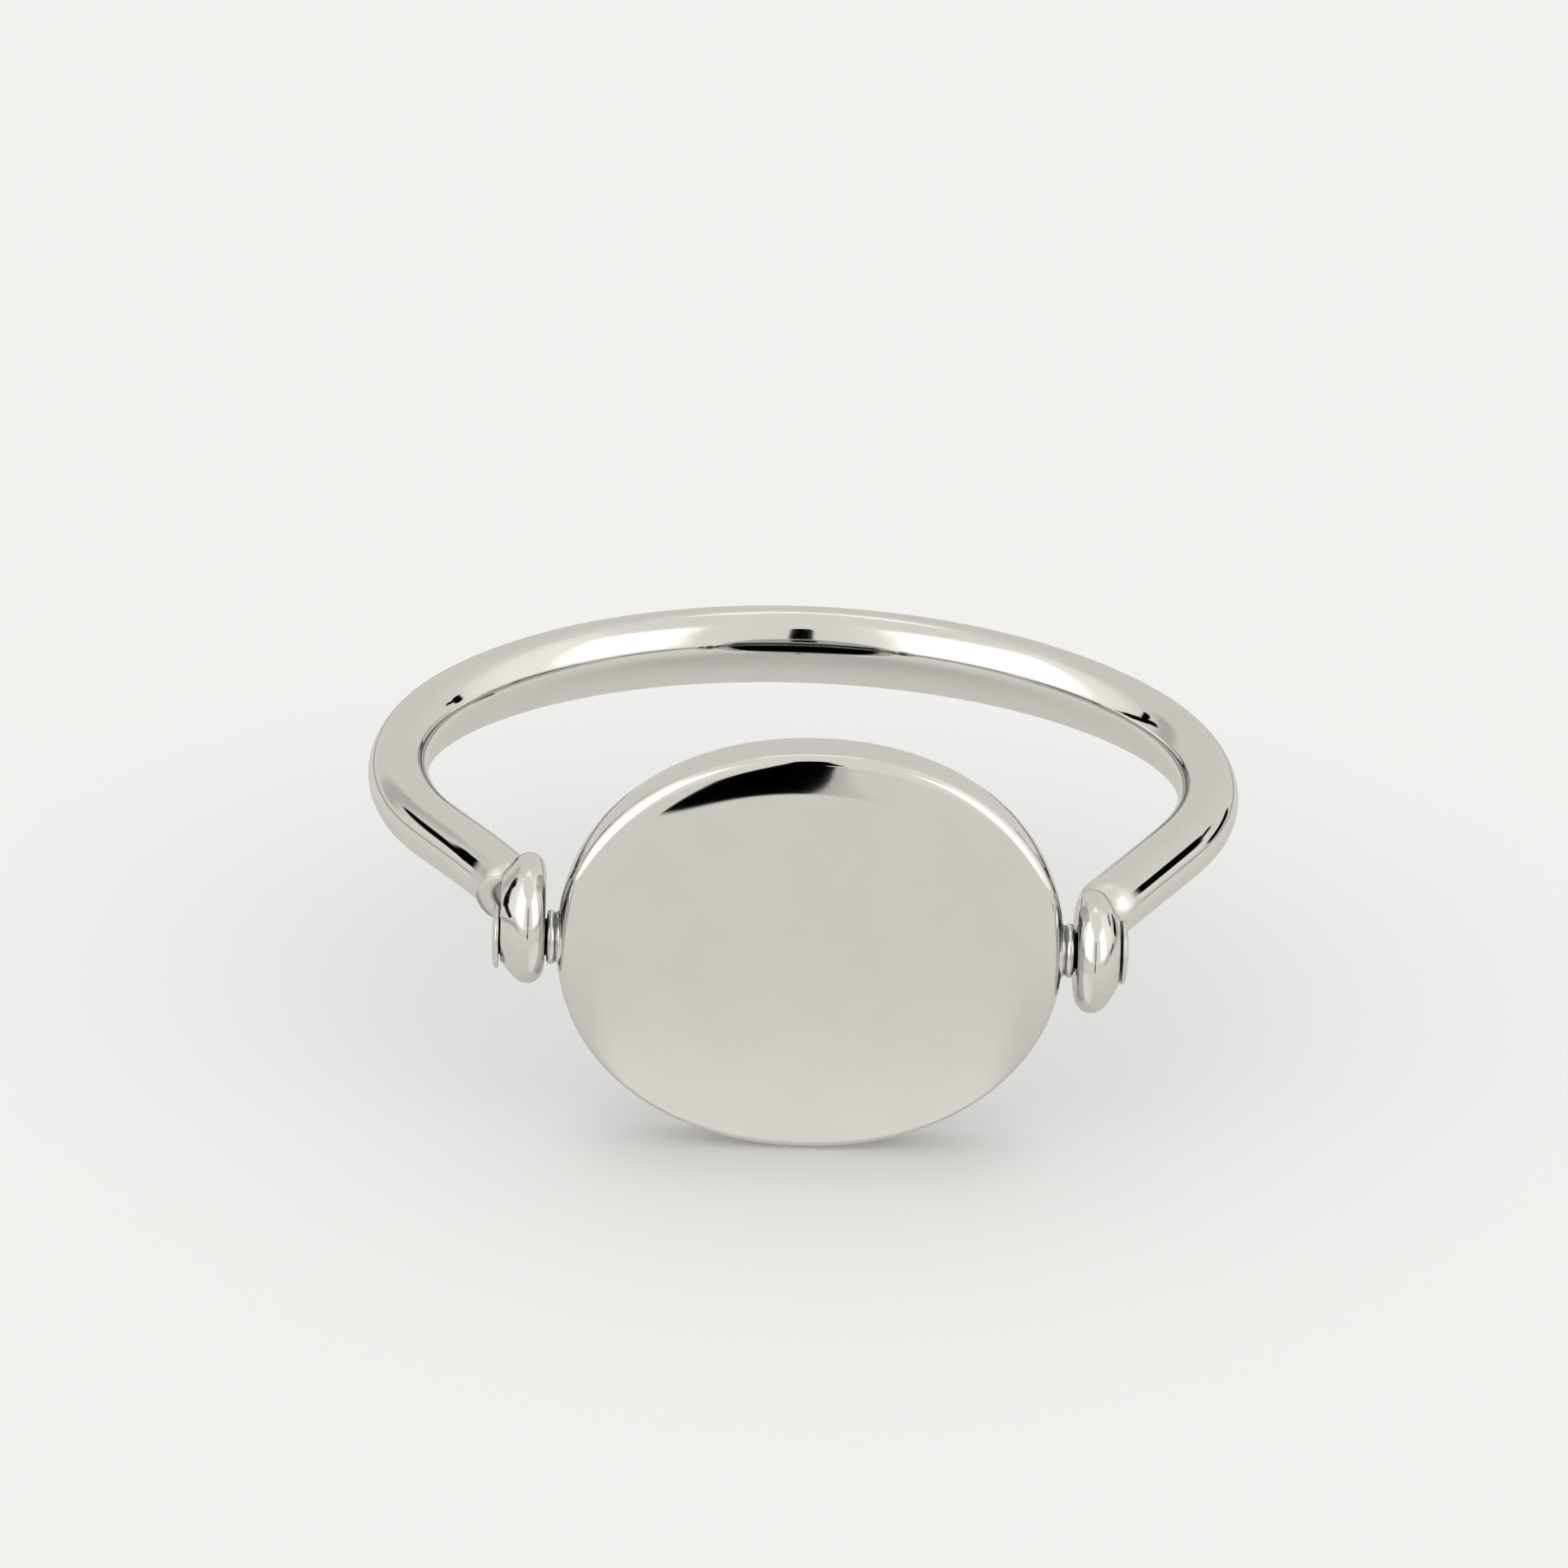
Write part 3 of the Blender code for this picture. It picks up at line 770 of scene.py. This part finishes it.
def tent_walls(azimuth, elevation):
    """Brightness of the light tent: pale cloth with a big lamp behind it on each side of the camera."""
    side = azimuth.math("ABSOLUTE")
    walls = mix(0.70, 0.78, ramp(side, 60.0, 100.0))
    walls = mix(walls, 0.61, ramp(side, 104.0, 132.0)) * (1 + 0.07 * inside(azimuth, 75.0, 150.0, 20.0))
    walls = mix(walls, 0.70, ramp(elevation, 48.0, 75.0))
    dim_corner = streak(azimuth, elevation, (-134.0, 4.0), (-138.0, 24.0), 7.0, 5.0)
    lamp_foot = ramp(elevation, -6.0, 14.0)
    left_lamp = inside(azimuth, -88.0, -29.0, 8.0) * lamp_foot * (1 - ramp(elevation, 47.0, 57.0))
    left_glow = inside(azimuth, -100.0, -20.0, 16.0) * (1 - ramp(elevation, 50.0, 64.0))
    right_lamp = inside(azimuth, 37.0, 76.0, 7.0) * lamp_foot * (1 - ramp(elevation, 43.0, 53.0))
    right_glow = inside(azimuth, 32.0, 92.0, 16.0) * (1 - ramp(elevation, 46.0, 60.0))
    overhead = streak(azimuth, elevation, (-140.0, 74.0), (-200.0, 71.0), 4.5, 2.5)
    overhead = overhead.math("MAXIMUM", streak(azimuth, elevation, (200.0, 70.0), (140.0, 75.0), 4.5, 2.5))
    walls = (walls + 0.12 * left_glow + 0.10 * right_glow) * (1 - 0.28 * dim_corner)
    walls = mix(walls, 0.98, overhead)
    walls = mix(walls, 1.45, left_lamp)
    return mix(walls, 1.40, right_lamp)


def add_world():
    """Even light for the floor, and the light tent for what the silver reflects."""
    world = bpy.data.worlds.new("studio")
    world.use_nodes = True
    world.cycles.sampling_method = "NONE"
    bpy.context.scene.world = world
    tree = world.node_tree
    azimuth, elevation = bearings(tree, tree.nodes.new("ShaderNodeTexCoord").outputs["Generated"])
    tent = tent_walls(azimuth, elevation) * (1 - tent_gaps(azimuth, elevation))
    # Painted shade in reflections of reflections.
    tent = tent * painted_shade_of_later_reflections(tree, azimuth, elevation)
    reflected = Field(tree, tree.nodes.new("ShaderNodeLightPath").outputs["Is Glossy Ray"])
    background = tree.nodes["Background"]
    light = colour(tree, [mix(1.0, tent * part, reflected) for part in TENT])
    tree.links.new(light, background.inputs["Color"])


def painted_floor_reflection(tree, geometry):
    """Painted reflection of the floor, a glow that only the silver sees: greyer than to the eye, with painted
    shade under and near the ring.
    """
    flip = tree.nodes.new("ShaderNodeVectorMath")
    flip.operation = "SCALE"
    flip.inputs["Scale"].default_value = -1.0
    tree.links.new(geometry.outputs["Incoming"], flip.inputs[0])
    azimuth, elevation = bearings(tree, flip.outputs[0])
    x, y, _ = split(tree, geometry.outputs["Position"])
    x, y = x / MM, y / MM
    reach = (x * x + y * y).math("SQRT")
    plate_front = PIVOT[1] - PLATE_HALF_THICKNESS
    # Painted light: just before the plate the floor shows brighter in the silver.
    painted_light_before_plate = inside(x, -5.5, 5.5, 1.2) * (1 - ramp(y, plate_front - 0.2, plate_front + 0.2))
    # Painted shade under the ring and near it.
    under = streak(x, y, (-1.0, -3.0), (1.0, -3.0), 7.0, 5.0)
    painted_shade_near_ring = 1 - ramp(reach, 13.0, 26.0)
    base = mix(0.645, 0.58, painted_shade_near_ring) * (1 - 0.22 * under)
    base = mix(base, mix(0.64, 0.72, ramp(y, -20.0, -9.5)), painted_light_before_plate)
    # A painted dark ring of the floor, seen only off to the sides.
    painted_dark_ring = inside(reach, 42.0, 66.0, 7.0) * ramp(azimuth.math("ABSOLUTE"), 50.0, 75.0)
    # The tent's dark openings and the painted shade of later reflections are painted onto this glow as well.
    seen = base * (1 - 0.42 * painted_dark_ring) * (1 - tent_gaps(azimuth, elevation))
    return seen * painted_shade_of_later_reflections(tree, azimuth, elevation)


def add_floor():
    """A pale sweep of paper with a painted soft, cool shadow round the ring and a painted contact shadow at
    the plate's foot; to the silver it shows a painted glow instead.
    """
    mesh = bpy.data.meshes.new("floor")
    r = FLOOR_REACH * MM
    z = (PLATE_LOW[2] - FLOOR_GAP) * MM
    mesh.from_pydata([(-r, -r, z), (r, -r, z), (r, r, z), (-r, r, z)], [], [(0, 1, 2, 3)])
    floor = bpy.data.objects.new("floor", mesh)
    bpy.context.scene.collection.objects.link(floor)

    mat = bpy.data.materials.new("paper")
    mat.use_nodes = True
    mat.cycles.emission_sampling = "NONE"
    mesh.materials.append(mat)
    tree = mat.node_tree
    tree.nodes.clear()
    geometry = tree.nodes.new("ShaderNodeNewGeometry")
    x, y, _ = split(tree, geometry.outputs["Position"])
    x, y = x / MM, y / MM
    # Painted shadows in the paper's colour: a wide, cool one round the ring and a darker one where the plate
    # stands.
    painted_wide_shadow = streak(x, y, (-2.0, 2.0), (2.0, 2.0), 12.5, 10.0)
    painted_contact_shadow = streak(x, y, (-2.5, PIVOT[1]), (2.5, PIVOT[1]), 2.0, 1.6)
    paper = tree.nodes.new("ShaderNodeBsdfDiffuse")
    parts = [part * (1 - cool * painted_wide_shadow) * (1 - 0.10 * painted_contact_shadow) for part, cool in zip(PAPER, PAINTED_SHADE)]
    tree.links.new(colour(tree, parts), paper.inputs["Color"])
    # Painted reflection: glossy rays see this glow instead of the lit paper. The glow lights nothing else.
    painted_reflection_glow = tree.nodes.new("ShaderNodeEmission")
    seen = painted_floor_reflection(tree, geometry)
    tree.links.new(colour(tree, [seen * part for part in TENT]), painted_reflection_glow.inputs["Color"])
    choose = tree.nodes.new("ShaderNodeMixShader")
    tree.links.new(tree.nodes.new("ShaderNodeLightPath").outputs["Is Glossy Ray"], choose.inputs["Fac"])
    tree.links.new(paper.outputs[0], choose.inputs[1])
    tree.links.new(painted_reflection_glow.outputs[0], choose.inputs[2])
    output = tree.nodes.new("ShaderNodeOutputMaterial")
    tree.links.new(choose.outputs[0], output.inputs["Surface"])


make_shank()
make_plate()
for side, word in SIDES:
    make_eyelet(word, side)
    make_pin(word, side)
    make_collar(word, side)
finish_pieces()
add_floor()
add_world()
add_camera()
bpy.context.scene.view_settings.view_transform = "Standard"
